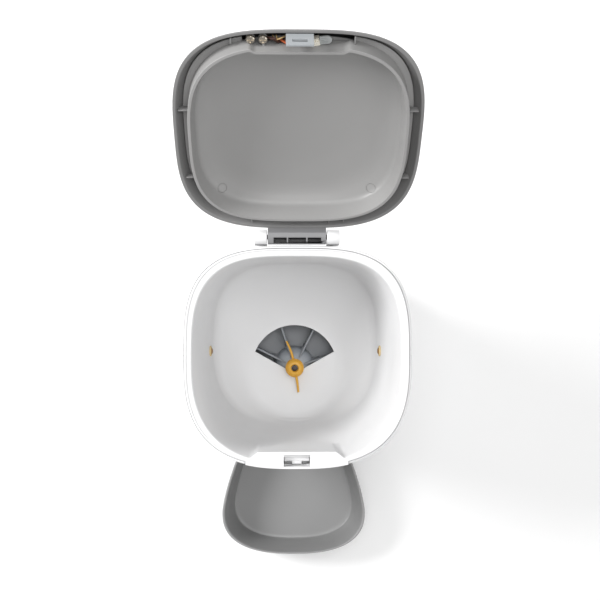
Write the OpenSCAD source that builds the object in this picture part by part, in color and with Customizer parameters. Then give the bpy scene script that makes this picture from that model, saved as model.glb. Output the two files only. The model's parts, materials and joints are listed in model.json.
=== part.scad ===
// Automatic pet feeder: a lidded food hopper over a vaned portioning rotor, with a
// chute that drops each portion into a pull-out tray.
// Frame: origin on the floor under the middle of the body, +X right, +Y rear, +Z up.

/* [Body] */
// Width of the body at its rim
body_w = 196; // [192:1:200]
// Depth of the body at its rim
body_d = 189; // [188:1:192]
// Height of the hopper rim above the floor
rim_z = 262; // [258:1:268]
// Wall thickness of the outer shells
wall = 2.6; // [2.2:0.1:3]

/* [Hopper] */
// Half width of the hopper opening
mouth_hw = 88.3; // [86:0.1:89]
// Half depth of the hopper opening
mouth_hd = 86.9; // [85:0.1:87]
// Height of the hopper floor above the chute
floor_z = 112; // [111:1:113]
// Radius of the fan-shaped opening in the hopper floor
fan_r = 42; // [38:1:44]

/* [Rotor] */
// Radius of the portioning rotor
rotor_r = 45.4; // [44:0.1:45.5]
// Number of rotor vanes
vane_count = 8; // [6:1:10]
// Distance of the rotor axis in front of the body's middle
rotor_back = 18.5; // [18:0.5:19]

/* [Lid] */
// Opening angle of the lid as drawn
lid_open = 135; // [0:5:135]
// Height of the closed lid above the rim
lid_rise = 39; // [36:1:42]

/* [Tray] */
// Greatest width of the tray
tray_w = 150; // [146:1:152]
// Distance of the tray's front edge from the body's middle
tray_reach = 219; // [214:1:222]
// Height of the tray
tray_h = 46; // [42:1:46]

/* [Hidden] */
$fn = 48;

hw = body_w / 2;
hd = body_d / 2;
ring_n = 60;
n_front = 2.8;
n_rear = 3.2;
rotor_y = -rotor_back;
hinge_y = hd + 7;
hinge_z = rim_z - 2.5;
pin_r = 2;
run_gap = 0.05;
ear_in = 25.3;
ear_out = 36;
split_y = 1.5;
ledge_z = rim_z - 2.4;
lip_in = 2.2;
collar_in = lip_in + 0.4;
mouth_y = -2.1;
neck_z = floor_z + 19;
neck_hw = 78.6;
neck_hd = 78.5;
neck_y = 5.5;
skin = 2.5;
chamber_floor = floor_z - 26;
chamber_top = floor_z - 3;
drive_top = chamber_floor - skin - 0.1;
base_z = 4;
base_t = 3;
boss_z = base_z + base_t + 0.1;
door_w = 112;
door_y0 = 8;
door_y1 = 72;
button_z = rim_z - 23;
lid_y = 0.65;
plug_y = -1.2;
latch_hw = 11.1;
latch_y0 = -hd + 2.1;
latch_y1 = -hd + 12;
tray_mid = tray_reach - 44;
tray_back = 101;
front_screws = [[-66, -38], [66, -38]];
rear_screws = [[-64, 48], [64, 48]];

// Radius of a rounded-square outline of half sizes a and b at angle t
function outline_r(t, a, b, n) = pow(pow(abs(cos(t)) / a, n) + pow(abs(sin(t)) / b, n), -1 / n);

// One closed ring of points; nf and nr set how square its front and rear halves are
function ring(a, b, cy, z, nf = n_front, nr = n_rear) =
    [for (i = [0:ring_n - 1])
        let (t = 360 * i / ring_n, r = outline_r(t, a, b, t > 180 ? nf : nr))
        [r * cos(t), cy + r * sin(t), z]];

// A ring of the body's outline, moved inwards by inset
function body_ring(inset, z) = ring(hw - inset, hd - inset, 0, z);
function flat(points) = [for (p = points) [p[0], p[1]]];
function side_faces(n, k, k1) =
    [for (i = [0:n - 1]) let (j = (i + 1) % n)
        each [[k * n + i, k1 * n + i, k1 * n + j], [k * n + i, k1 * n + j, k * n + j]]];

// Solid through a list of rings, capped at the first and the last
module loft(rings) {
    n = len(rings[0]);
    m = len(rings);
    polyhedron(
        points = [for (r = rings) each r],
        faces = concat(
            [[for (i = [0:n - 1]) i]],
            [for (k = [0:m - 2]) each side_faces(n, k, k + 1)],
            [[for (i = [n - 1:-1:0]) (m - 1) * n + i]]));
}

// Solid wall through a closed loop of rings, open in the middle
module ring_wall(rings) {
    n = len(rings[0]);
    m = len(rings);
    polyhedron(
        points = [for (r = rings) each r],
        faces = [for (k = [0:m - 1]) each side_faces(n, k, (k + 1) % m)]);
}

// Prism across the body's width from a side profile of [y, z] points
module across(x0, x1, profile) {
    translate([x0, 0, 0]) rotate([90, 0, 90]) linear_extrude(x1 - x0) polygon(profile);
}

// Cylinder along X or along Y, from its start point
module rod_x(r, x0, x1, y, z) {
    translate([x0, y, z]) rotate([0, 90, 0]) cylinder(r = r, h = x1 - x0);
}
module rod_y(r, y0, y1, x, z) {
    translate([x, y0, z]) rotate([-90, 0, 0]) cylinder(r = r, h = y1 - y0);
}

// Box between two corners
module box(lo, hi) {
    translate(lo) cube(hi - lo);
}

// Pan-head screw standing on z = 0 with its thread below
module screw(head_r, head_h, thread_r, thread_l) {
    difference() {
        union() {
            translate([0, 0, -0.01]) cylinder(r = head_r, h = head_h);
            translate([0, 0, -thread_l]) cylinder(r = thread_r, h = thread_l);
        }
        translate([-head_r * 0.6, -0.4, head_h * 0.5]) cube([head_r * 1.2, 0.8, head_h]);
        translate([-0.4, -head_r * 0.6, head_h * 0.5]) cube([0.8, head_r * 1.2, head_h]);
    }
}

// Sector of a disc around the rotor axis, from angle a0 to a1
function arc(r, a0, a1, steps) =
    [for (i = [0:steps]) let (t = a0 + (a1 - a0) * i / steps) [r * cos(t), r * sin(t)]];

// Places lid parts, drawn closed, at the lid's opening angle
module on_lid() {
    translate([0, hinge_y, hinge_z]) rotate([-lid_open, 0, 0])
        translate([0, -hinge_y, -hinge_z]) children();
}

// ---- outer shells ----

module shell_wall() {
    ring_wall([
        body_ring(5, base_z), body_ring(3.2, 40), body_ring(1, 110), body_ring(0, 190),
        body_ring(0, ledge_z - 3), body_ring(0.6, ledge_z - 0.7), body_ring(1.4, ledge_z),
        body_ring(lip_in, ledge_z), body_ring(lip_in, ledge_z - 6), body_ring(wall, ledge_z - 9),
        body_ring(wall, 190), body_ring(1 + wall, 110), body_ring(3.2 + wall, 40),
        body_ring(5 + wall, base_z)]);
}

// Boss over a base screw, tied to the side wall by a rib
module boss(p) {
    side = p[0] > 0 ? 1 : -1;
    reach = 23.2;
    difference() {
        union() {
            translate([p[0], p[1], boss_z]) cylinder(r = 3.8, h = 13);
            box([p[0] + (side > 0 ? 0 : -reach), p[1] - 1, boss_z],
                [p[0] + (side > 0 ? reach : 0), p[1] + 1, boss_z + 11]);
        }
        translate([p[0], p[1], boss_z - 1]) cylinder(r = 1.52, h = 12);
    }
}

module alcove_cut() {
    corner = 20;
    top = 88;
    half = 62;
    rotate([90, 0, 0]) linear_extrude(hd + 10)
        polygon(concat([[-half, 0], [half, 0]],
            [for (p = arc(corner, 0, 90, 6)) [half - corner + p[0], top - corner + p[1]]],
            [for (p = arc(corner, 90, 180, 6)) [-half + corner + p[0], top - corner + p[1]]]));
}

module shell_front() {
    color("white") difference() {
        union() {
            intersection() {
                shell_wall();
                box([-hw - 5, -hd - 5, 0], [hw + 5, split_y - 0.2, rim_z]);
            }
            for (p = front_screws) boss(p);
        }
        alcove_cut();
        box([-44.6, -hd - 5, rim_z - 11], [44.6, -hd + 12, rim_z]);
        box([-15.4, -hd - 5, button_z - 7.4], [15.4, -hd + 12, button_z + 7.4]);
        rod_y(7.5, -hd - 5, -hd + 12, 0, 108);
        rod_y(2.1, -hd - 5, -hd + 12, 0, 126);
    }
}

module shell_rear() {
    color("white") difference() {
        union() {
            intersection() {
                shell_wall();
                box([-hw - 5, split_y + 0.2, 0], [hw + 5, hd + 5, rim_z]);
            }
            for (p = rear_screws) boss(p);
        }
        rod_y(4.2, hd - 16, hd + 5, 40, 20);
    }
}

// ---- hopper ----

module hopper_cup() {
    loft([
        ring(rotor_r + 3, rotor_r + 3, rotor_y, floor_z - skin, 2, 2),
        ring(neck_hw + skin, neck_hd + skin, neck_y, neck_z - 3, 2.5, 2.9),
        ring(mouth_hw + 2.2, mouth_hd + 2.1, mouth_y, rim_z - 10, 2.6, n_rear),
        body_ring(collar_in, rim_z - 10),
        body_ring(collar_in, rim_z - 1.2),
        body_ring(collar_in + 1, rim_z),
        ring(mouth_hw + 0.8, mouth_hd + 0.6, mouth_y, rim_z, 2.6, n_rear),
        ring(mouth_hw, mouth_hd, mouth_y, rim_z - 1.5, 2.6, n_rear),
        ring(neck_hw, neck_hd, neck_y, neck_z, 2.5, 2.9),
        ring(rotor_r + 0.6, rotor_r + 0.6, rotor_y, floor_z, 2, 2)]);
}

// Block inside the front wall that houses the lid latch
module latch_block() {
    intersection() {
        linear_extrude(rim_z) polygon([
            [-43.5, -hd - 5], [43.5, -hd - 5], [43.5, -hd + 6.6],
            [33, -hd + 14.6], [-33, -hd + 14.6], [-43.5, -hd + 6.6]]);
        loft([
            ring(30, 60, mouth_y, neck_z + 2, 2, 2),
            body_ring(8.4, neck_z + 12), body_ring(4.4, 226), body_ring(3.4, rim_z - 10.8),
            body_ring(0.2, rim_z - 10.6), body_ring(0.2, rim_z - 1), body_ring(1, rim_z)]);
    }
}

module fan_cut() {
    apex = 6;
    translate([0, rotor_y, floor_z - skin - 2]) linear_extrude(skin + 4)
        polygon(concat([[0, -apex]], arc(fan_r, 22, 158, 24)));
}

module latch_cut() {
    box([-latch_hw, latch_y0, rim_z - 4.5], [latch_hw, latch_y1, rim_z + 1]);
    box([-latch_hw, latch_y0, rim_z - 12], [latch_hw, latch_y1 - 2.5, rim_z - 4]);
    box([-latch_hw, latch_y0, rim_z - 15.4], [latch_hw, latch_y1 + 1, rim_z - 6.8]);
    box([-15.6, -hd + 1, button_z - 8], [15.6, latch_y1 + 1, button_z + 8]);
}

module hopper() {
    color("whitesmoke") difference() {
        union() {
            hopper_cup();
            latch_block();
        }
        fan_cut();
        latch_cut();
        rod_x(4.1, -hw, hw, 0, 155);
    }
}

// ---- hinge ----

module ear_profile(x0, x1) {
    difference() {
        union() {
            rod_x(6, x0, x1, hinge_y, hinge_z);
            across(x0, x1, [[hd + 0.3, hinge_z - 19.5], [hinge_y + 3.5, hinge_z - 9.5],
                [hinge_y + 6, hinge_z], [hinge_y, hinge_z], [hd + 0.3, hinge_z - 2]]);
        }
        rod_x(pin_r + run_gap, x0 - 1, x1 + 1, hinge_y, hinge_z);
    }
}

module hinge_ears() {
    color("white") {
        ear_profile(ear_in, ear_out);
        ear_profile(-ear_out, -ear_in);
    }
}

module hinge_pin() {
    color("silver") rod_x(pin_r, -ear_out + 1, ear_out - 1, hinge_y, hinge_z);
}

module hinge_bracket() {
    half = ear_in - 0.7;
    color("dimgray") on_lid() difference() {
        union() {
            rod_x(5.8, -half, half, hinge_y, hinge_z);
            across(-half, half, [[hinge_y - 6.4, rim_z + 0.9], [hinge_y, hinge_z],
                [hinge_y + 5.8, hinge_z], [hinge_y + 5.8, rim_z + 4],
                [hinge_y + 1.5, rim_z + 9], [hinge_y - 10.9, rim_z + 9]]);
        }
        rod_x(pin_r + run_gap, -half - 1, half + 1, hinge_y, hinge_z);
        for (x = [-15.2, 0, 15.2])
            box([x - 6, hinge_y - 3.2, hinge_z - 7], [x + 6, hinge_y + 1, hinge_z - 3.4]);
    }
}

// ---- base ----

function tray_half(d) =
    (tray_w / 2 - 0.0532 * pow(d, 1.4)) * pow(max(0, 1 - pow(d / tray_back, 8)), 1 / 3);

// Tray outline: a bulged front and sides that draw in towards the rounded back
function tray_outline(side, grow = 0) =
    concat(
        [for (t = [180:12:360]) let (r = outline_r(t, tray_w / 2, 44, 2.5))
            [(r + grow) * cos(t), -tray_mid + (r + grow) * sin(t)]],
        [for (k = [1:side]) let (d = tray_back * sin(90 * k / side))
            [tray_half(d) + grow, -tray_mid + d + grow * (k == side ? 1 : 0)]],
        [for (k = [side:-1:1]) let (d = tray_back * sin(90 * k / side))
            [-tray_half(d) - grow, -tray_mid + d + grow * (k == side ? 1 : 0)]]);

// The tray's outline, drawn in towards its middle, at height z
function tray_ring(s, z) =
    [for (p = tray_outline(10)) [p[0] * s, -150 + (p[1] + 150) * (1 - (1 - s) * 0.72), z]];

module base_plate() {
    dock = 4;
    color("white") difference() {
        union() {
            translate([0, 0, base_z]) linear_extrude(base_t)
                polygon(flat(body_ring(5 + wall + 0.3, 0)));
            intersection() {
                translate([0, 0, base_z]) linear_extrude(45)
                    polygon(tray_outline(10, dock + 2));
                linear_extrude(60) polygon(flat(body_ring(8.8, 0)));
            }
        }
        translate([0, 0, -1]) linear_extrude(80) polygon(tray_outline(10, dock));
        box([-door_w / 2, door_y0, 0], [door_w / 2, door_y1, 20]);
        for (p = concat(front_screws, rear_screws))
            translate([p[0], p[1], 0]) cylinder(r = 1.7, h = 20);
    }
}

module foot_ring() {
    color("gray") difference() {
        linear_extrude(base_z) polygon(flat(body_ring(8.4, 0)));
        translate([0, 0, -1]) linear_extrude(base_z + 2) polygon(flat(body_ring(13.4, 0)));
        box([-60, -hd, -1], [60, -60, base_z + 1]);
    }
}

module base_screws() {
    color("silver") for (p = concat(front_screws, rear_screws))
        translate([p[0], p[1], base_z - 0.02]) rotate([180, 0, 0]) screw(3, 1.8, 1.5, 11);
}

// ---- power ----

module battery_box() {
    color("whitesmoke") difference() {
        box([-58, door_y0 - 2, base_z + base_t + 0.1], [58, door_y1 + 2, 50]);
        box([-56, door_y0, 0], [56, door_y1, 47.6]);
    }
}

module battery_contacts() {
    color("silver") {
        for (x = [-36, 0, 36]) {
            box([x - 9, door_y0 + 0.1, 16], [x + 9, door_y0 + 0.6, 38]);
            box([x - 9, door_y1 - 0.6, 16], [x + 9, door_y1 - 0.1, 38]);
            for (k = [0:3])
                translate([x, door_y0 + 1.1 + k * 1.3, 27]) rotate([-90, 0, 0])
                    rotate_extrude() translate([7 - k * 0.9, 0]) circle(r = 0.55, $fn = 16);
        }
    }
}

module battery_door() {
    color("white") difference() {
        union() {
            box([-door_w / 2 + 0.4, door_y0 + 0.4, base_z + 0.2],
                [door_w / 2 - 0.4, door_y1 - 0.4, base_z + base_t]);
            for (x = [-30, 30])
                box([x - 6, door_y1 - 2.4, base_z + 1], [x + 6, door_y1 - 1, base_z + 8]);
        }
        box([-12, door_y0 + 6, base_z - 1], [12, door_y0 + 8, base_z + 1.4]);
        box([-12, door_y0 + 10, base_z - 1], [12, door_y0 + 12, base_z + 1.4]);
    }
}

module power_jack() {
    color("black") difference() {
        union() {
            box([34, 75.6, 14], [46, 83.2, 26]);
            rod_y(4, 83, 88.6, 40, 20);
        }
        rod_y(2.9, 78, 90, 40, 20);
    }
    color("silver") rod_y(0.9, 77.9, 87, 40, 20);
}

module power_board() {
    color("darkgreen") difference() {
        box([18, 76.6, 30], [52, 78.2, 56]);
        for (x = [21, 49]) rod_y(1.6, 70, 80, x, 53);
    }
    color("black") box([26, 78.3, 36], [34, 82, 44]);
}

// ---- portioning drive ----

module rotor_chamber() {
    outer = rotor_r + 3.2;
    color("gray") translate([0, rotor_y, 0]) difference() {
        translate([0, 0, chamber_floor - skin]) cylinder(r = outer, h = chamber_top - chamber_floor + skin);
        translate([0, 0, chamber_floor]) cylinder(r = rotor_r + 0.8, h = 40);
        translate([0, 0, chamber_floor - 10]) cylinder(r = 3 + run_gap, h = 20);
        translate([0, 0, chamber_floor - 10]) linear_extrude(20)
            polygon(concat(arc(22, -52, -128, 8), arc(rotor_r - 1.4, -128, -52, 12)));
    }
}

module chute() {
    slope = [[-40.7, drive_top], [-40.7, 77], [-95, 48.6], [-95, 78], [-70, drive_top]];
    skin_out = [[-38.5, drive_top], [-38.5, 75.6], [-95, 46], [-95, 80.4], [-70.4, 85.5]];
    color("gray") difference() {
        intersection() {
            union() {
                difference() {
                    linear_extrude(90) polygon(flat(body_ring(6.2, 0)));
                    translate([0, 0, -1]) linear_extrude(92) polygon(flat(body_ring(8.4, 0)));
                    box([-hw, -hd, -1], [hw, hd, 49.6]);
                    box([-hw, -60, 0], [hw, hd, 100]);
                }
                across(-31, 31, skin_out);
            }
            linear_extrude(90) polygon(flat(body_ring(6.2, 0)));
            box([-66, -hd, 40], [66, 0, 90]);
        }
        across(-28.8, 28.8, slope);
        translate([0, rotor_y, drive_top]) cylinder(r = rotor_r + 3.3, h = 20);
    }
}

module gearbox() {
    color("lightgray") translate([0, rotor_y, 0]) difference() {
        union() {
            translate([0, 0, drive_top - 21.4]) cylinder(r = 18.5, h = 19);
            translate([-26, -5, drive_top - 4.4]) cube([52, 10, 4.4]);
        }
        translate([0, 0, drive_top - 13.4]) cylinder(r = 3 + run_gap, h = 20);
        for (x = [-22.5, 22.5]) translate([x, 0, drive_top - 13.4]) cylinder(r = 1.6, h = 20);
    }
}

module motor() {
    color("silver") translate([0, rotor_y, 0]) {
        translate([0, 0, drive_top - 53.4]) cylinder(r = 12.2, h = 31.9);
        translate([0, 0, drive_top - 55.9]) cylinder(r = 4, h = 2.6);
    }
}

module drive_shaft() {
    color("silver") translate([0, rotor_y, drive_top - 13.2])
        cylinder(r = 3, h = floor_z + 7 - (drive_top - 13.2));
}

module rotor() {
    z0 = chamber_floor + 0.6;
    z1 = chamber_top - 1;
    color("slategray") translate([0, rotor_y, 0]) difference() {
        intersection() {
            union() {
                translate([0, 0, z0]) cylinder(r1 = 22, r2 = 9, h = z1 - z0);
                for (k = [0:vane_count - 1]) rotate(63 + 360 / vane_count * k)
                    translate([4, -1, z0]) cube([rotor_r, 2, z1 - z0]);
            }
            cylinder(r = rotor_r, h = 200);
        }
        cylinder(r = 3.02, h = 200);
    }
}

module stirrer() {
    z0 = floor_z + 0.9;
    color("goldenrod") translate([0, rotor_y, 0]) difference() {
        union() {
            translate([0, 0, z0]) cylinder(r = 9, h = 8);
            translate([0, 0, z0 + 7.9]) cylinder(r1 = 9, r2 = 6.6, h = 2.4);
            rotate(103) translate([8, -1.15, z0 + 2]) cube([20.5, 2.3, 3]);
            rotate(-81) translate([8, -1.15, z0 + 2]) cube([16.5, 2.3, 3]);
        }
        translate([0, 0, z0 - 1]) cylinder(r = 3.02, h = floor_z + 7 - z0 + 1);
        translate([0, 0, floor_z + 6.9]) cylinder(r = 3.4, h = 20);
    }
}

module stirrer_screw() {
    color("silver") translate([0, rotor_y, floor_z + 7]) difference() {
        cylinder(r = 2.9, h = 2.2);
        translate([0, 0, 1]) cylinder(r = 1.4, h = 4, $fn = 6);
    }
}

module chamber_screws() {
    color("silver") for (x = [-rotor_r - 7, rotor_r + 7])
        translate([x, rotor_y, chamber_top - 9])
            rotate([180, 0, 0]) screw(2.6, 1.8, 1.3, 8);
}

module motor_screws() {
    color("silver") for (x = [-22.5, 22.5])
        translate([x, rotor_y, drive_top - 4.42]) rotate([180, 0, 0]) screw(2.6, 1.6, 1.4, 4.2);
}

// ---- controls ----

module control_board() {
    color("darkgreen") difference() {
        box([-24, -83.6, 94], [24, -82, 130]);
        for (x = [-21, 21]) rod_y(1.6, -90, -80, x, 97);
    }
    color("black") box([8, -81.9, 100], [18, -80.4, 110]);
}

module feed_switch() {
    color("black") {
        box([-3, -86.9, 105], [3, -83.7, 111]);
        rod_y(1.6, -87.2, -86.8, 0, 108);
    }
}

module feed_button() {
    color("gray") {
        rod_y(7.4, -hd - 0.4, -hd + 5.1, 0, 108);
        rod_y(1.8, -hd + 5, -hd + 5.8, 0, 108);
        rod_y(8.6, -hd + 4.6, -hd + 5.4, 0, 108);
    }
}

module status_light() {
    color("azure") rod_y(2, -hd + 1, -84.2, 0, 126);
}

module sensor_windows() {
    color("goldenrod") for (s = [-1, 1]) mirror([s < 0 ? 1 : 0, 0, 0]) {
        rod_x(4, 79.3, 86.4, 0, 155);
        translate([79.4, 0, 155]) intersection() {
            translate([3.2, 0, 0]) sphere(r = 5.1);
            box([-3, -6, -6], [0.1, 6, 6]);
        }
    }
}

module sensor_boards() {
    color("darkgreen") for (s = [-1, 1]) mirror([s < 0 ? 1 : 0, 0, 0])
        box([86.5, -9, 143], [88.1, 9, 167]);
}

module board_screws() {
    color("silver") for (x = [-21, 21])
        translate([x, -83.62, 97]) rotate([90, 0, 0]) screw(2.4, 1.4, 1.5, 6);
}

// ---- latch ----

module release_button() {
    color("white") difference() {
        union() {
            box([-15, -hd - 1, button_z - 7], [15, -hd + 3, button_z + 7]);
            box([-latch_hw + 0.5, -hd + 2.9, button_z - 4],
                [latch_hw - 0.5, -hd + 9.6, button_z + 4]);
            box([-latch_hw + 0.5, -hd + 5.9, button_z + 3.9],
                [latch_hw - 0.5, -hd + 9.6, rim_z - 7]);
            across(-4.1, 4.1, [[-hd + 6, rim_z - 10], [-hd + 3.4, rim_z - 8.8],
                [-hd + 3.4, rim_z - 7.4], [-hd + 6, rim_z - 7.1]]);
        }
        rod_y(2.7, -hd + 5.4, -hd + 10, 0, button_z);
    }
}

// Drawn at its pressed length, so that it clears the arm over the whole travel
module release_spring() {
    color("silver") for (k = [0:4])
        translate([0, -hd + 8.25 + k * 1.1, button_z]) rotate([-90, 0, 0])
            rotate_extrude() translate([2, 0]) circle(r = 0.3, $fn = 16);
}

module latch_tongue() {
    color("lightsteelblue") on_lid() difference() {
        union() {
            box([-10, -hd + 4.1, rim_z - 14.4], [10, -hd + 5.6, rim_z + 0.5]);
            box([-10, -hd + 4.9, rim_z - 0.4], [10, -hd + 10.5, rim_z + 2]);
        }
        box([-5.5, -hd, rim_z - 10.4], [5.5, -hd + 6, rim_z - 6.4]);
    }
}

// ---- lid ----

// A ring of the closed lid's outline, moved inwards by inset
function lid_ring(inset, z) =
    ring(hw - 1.4 - inset, hd - 0.65 - inset, lid_y, z, 3.3, n_rear);

module lid_cover() {
    top = rim_z + lid_rise;
    color("gray") on_lid() loft([
        ring(45, 43, lid_y, top - 2.4, 2.2, 2.2), lid_ring(26.4, top - 6.5),
        lid_ring(18.9, rim_z + 27.3), lid_ring(14.4, rim_z + 22), lid_ring(10.2, rim_z + 15),
        lid_ring(7.3, rim_z + 10), lid_ring(4.7, rim_z + 5.8), lid_ring(2.5, rim_z + 0.6),
        lid_ring(0, rim_z + 0.6), lid_ring(0.15, rim_z + 2), lid_ring(2.3, rim_z + 5.8),
        lid_ring(4.9, rim_z + 10), lid_ring(7.8, rim_z + 15), lid_ring(12, rim_z + 22),
        lid_ring(17, rim_z + 29), lid_ring(25, top - 4.5),
        ring(45, 43, lid_y, top, 2.2, 2.2)]);
}

// Outline of the notch in the liner's front wall; deep moves its floor towards the middle
function notch_outline(deep, front) =
    [[-41.4, front], [-33 + deep * 0.2, -79.3 + deep], [32.4 - deep * 0.2, -79.3 + deep],
        [40.2, front]];

// One ring of the liner's plug, which enters the hopper's mouth
function plug_ring(a, b, z, nf = 3) = ring(a, b, plug_y, z, nf, n_rear);

module lid_liner() {
    low = rim_z - 6;
    color("darkgray") on_lid() difference() {
        union() {
            loft([
                ring(45, 44, plug_y, rim_z + 21, 2, 2), ring(70, 68, plug_y, rim_z + 18, 2.4, 2.6),
                plug_ring(80.4, 78, rim_z + 12, 2.8), plug_ring(82.8, 80.3, low),
                plug_ring(85, 82.4, low), plug_ring(85.2, 82.6, rim_z + 8),
                lid_ring(7.7, rim_z + 8), lid_ring(7.7, rim_z + 10),
                plug_ring(84.4, 81.8, rim_z + 10), plug_ring(83, 80.4, rim_z + 13.4, 2.8),
                ring(71, 69, plug_y, rim_z + 20.2, 2.4, 2.6),
                ring(45, 44, plug_y, rim_z + 23, 2, 2)]);
            translate([0, 0, low]) linear_extrude(17) polygon(notch_outline(2, -80));
        }
        translate([0, 0, low - 2]) linear_extrude(15) polygon(concat(
            [[-41.4, -hd - 2]], notch_outline(0, -83.9), [[40.2, -hd - 2]]));
        box([-38, -hd - 2, rim_z + 6.9], [38, -79.4, rim_z + 11]);
    }
}

module lid_screws() {
    color("silver") on_lid() for (x = [-35.6, -26.5])
        translate([x, -hd + 9.6, rim_z + 2]) rotate([180, 0, 0]) screw(3.4, 2, 1.4, 4);
}

// Thin wire swept along points, with eight flat sides
module wire(points, r) {
    n = 8;
    m = len(points);
    function dir(i) = let (d = points[min(i + 1, m - 1)] - points[max(i - 1, 0)]) d / norm(d);
    rings = [for (i = [0:m - 1])
        let (d = dir(i), u = cross(d, [0.31, 0.2, 0.93]), a = u / norm(u), b = cross(d, a))
        [for (k = [0:n - 1]) points[i] + r * (a * cos(360 * k / n) + b * sin(360 * k / n))]];
    loft([for (i = [m - 1:-1:0]) rings[i]]);
}

// Points on a smooth bow from p to q that rises by h at its middle
function bow(p, q, rise, steps) =
    [for (i = [0:steps]) let (t = i / steps) p + (q - p) * t + rise * sin(180 * t)];

module lid_wires_dark() {
    color("saddlebrown") on_lid() {
        wire(bow([-25, -hd + 14.4, rim_z + 5], [-13, -hd + 12.8, rim_z + 9], [0, -1.3, -3], 8), 0.6);
        wire(bow([-24.2, -hd + 11.4, rim_z + 5], [-12, -hd + 10.9, rim_z + 8], [0, -0.9, -2], 8), 0.6);
    }
}

module lid_wire_orange() {
    color("orangered") on_lid()
        wire(bow([-14, -hd + 13, rim_z + 5], [7, -hd + 12.4, rim_z + 6], [0, 1, -2], 10), 0.65);
}

module lid_wire_tan() {
    color("tan") on_lid()
        wire(bow([-24, -hd + 8.6, rim_z + 6], [-14, -hd + 8.8, rim_z + 6], [0, 0.4, -3], 8), 0.6);
}

module wire_connector() {
    color("ivory") on_lid() box([8.2, -hd + 10, rim_z + 2], [14.6, -hd + 14.8, rim_z + 9]);
}

module light_tab() {
    color("lightgray") on_lid() box([15, -hd + 8.8, rim_z + 4], [23.3, -hd + 15, rim_z + 6]);
}

// ---- tray ----

module tray() {
    color("gray") loft([
        tray_ring(0.86, 0), tray_ring(0.88, 3), tray_ring(0.965, tray_h - 6),
        tray_ring(1, tray_h - 2), tray_ring(0.997, tray_h), tray_ring(0.968, tray_h),
        tray_ring(0.945, tray_h - 5), tray_ring(0.862, 7), tray_ring(0.84, 4)]);
}

shell_front();
shell_rear();
hopper();
hinge_ears();
hinge_pin();
base_plate();
foot_ring();
battery_box();
battery_contacts();
battery_door();
rotor_chamber();
chute();
gearbox();
motor();
drive_shaft();
rotor();
stirrer();
stirrer_screw();
control_board();
feed_switch();
feed_button();
status_light();
sensor_windows();
sensor_boards();
power_jack();
power_board();
release_button();
release_spring();
lid_cover();
lid_liner();
hinge_bracket();
latch_tongue();
lid_screws();
lid_wires_dark();
lid_wire_orange();
lid_wire_tan();
wire_connector();
light_tab();
base_screws();
chamber_screws();
motor_screws();
board_screws();
tray();
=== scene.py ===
"""Automatic pet feeder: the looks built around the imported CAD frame. Millimetres inside the
building functions, metres on every finished mesh."""
import json
import math

import bmesh
import bpy
import numpy as np
from mathutils import Matrix, Vector


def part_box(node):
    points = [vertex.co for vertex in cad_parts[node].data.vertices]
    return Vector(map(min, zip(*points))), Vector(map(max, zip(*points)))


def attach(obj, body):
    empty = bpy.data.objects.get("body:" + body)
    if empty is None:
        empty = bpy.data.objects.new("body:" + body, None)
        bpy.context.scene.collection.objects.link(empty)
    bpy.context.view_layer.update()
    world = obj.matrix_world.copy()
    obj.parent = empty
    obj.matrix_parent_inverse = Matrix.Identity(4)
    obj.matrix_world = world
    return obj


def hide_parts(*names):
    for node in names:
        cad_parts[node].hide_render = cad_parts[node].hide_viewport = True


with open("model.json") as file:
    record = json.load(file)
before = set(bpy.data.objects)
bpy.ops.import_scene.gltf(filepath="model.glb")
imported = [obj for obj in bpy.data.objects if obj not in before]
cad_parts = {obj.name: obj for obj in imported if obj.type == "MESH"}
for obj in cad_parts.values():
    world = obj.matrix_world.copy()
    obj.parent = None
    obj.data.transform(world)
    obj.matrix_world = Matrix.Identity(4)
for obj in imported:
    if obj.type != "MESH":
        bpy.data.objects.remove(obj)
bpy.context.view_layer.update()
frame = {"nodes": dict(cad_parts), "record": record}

MM = 0.001
JOINTS = {j["name"]: j for j in frame["record"]["behaviour"]["joints"]}


def node_box(name):
    """Lowest and highest corner of a CAD node, in millimetres."""
    lo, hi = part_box(name)
    return np.array(lo) / MM, np.array(hi) / MM


# ---------------------------------------------------------------- sizes from the frame

HALF_W = node_box("shell_front")[1][0]
HALF_D = node_box("shell_rear")[1][1]
RIM_Z = node_box("hopper")[1][2]
LEDGE_Z = node_box("shell_rear")[1][2]
FLOOR_Z = node_box("stirrer")[0][2] - 0.9
ROTOR_Y = JOINTS["rotor_spin"]["pos_m"][1] / MM
ROTOR_R = node_box("rotor")[1][0]
HINGE_Y, HINGE_Z = (v / MM for v in JOINTS["lid_hinge"]["pos_m"][1:])
LID_OPEN = math.radians(135)
LID_TOP = RIM_Z + 39
N_FRONT, N_REAR = 2.8, 3.2
WALL = 2.6
BASE_Z = 4
MOUTH_HW, MOUTH_HD, MOUTH_Y = 88.3, 86.9, -2.1
NECK_HW, NECK_HD, NECK_Y, NECK_Z = 78.6, 78.5, 5.5, FLOOR_Z + 19
LIP_IN, COLLAR_IN = 2.2, 2.6
LID_HW, LID_HD, LID_Y = HALF_W - 1.4, HALF_D - 0.65, 0.65
N_LID = 3.3
PLUG_Y = -1.2
PLUG_NOTCH_Y = -79.3
BUTTON_Z = RIM_Z - 23
LATCH_HW = 11.1
BOSS_Z = BASE_Z + 3.1
FRONT_SCREWS = [(-66, -38), (66, -38)]
REAR_SCREWS = [(-64, 48), (64, 48)]
INLET_X, INLET_Z = 40, 20
FEED_Z, LIGHT_Z = 108, 126
LENS_Z = 155
LID_SCREW_Y = -HALF_D + 9.6
TRAY_HALF = node_box("tray")[1][0]
TRAY_FRONT = -node_box("tray")[0][1]
TRAY_H = node_box("tray")[1][2]
TRAY_BULGE, TRAY_BACK = 44, 101
TRAY_CENTRE_Y = -150

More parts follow.
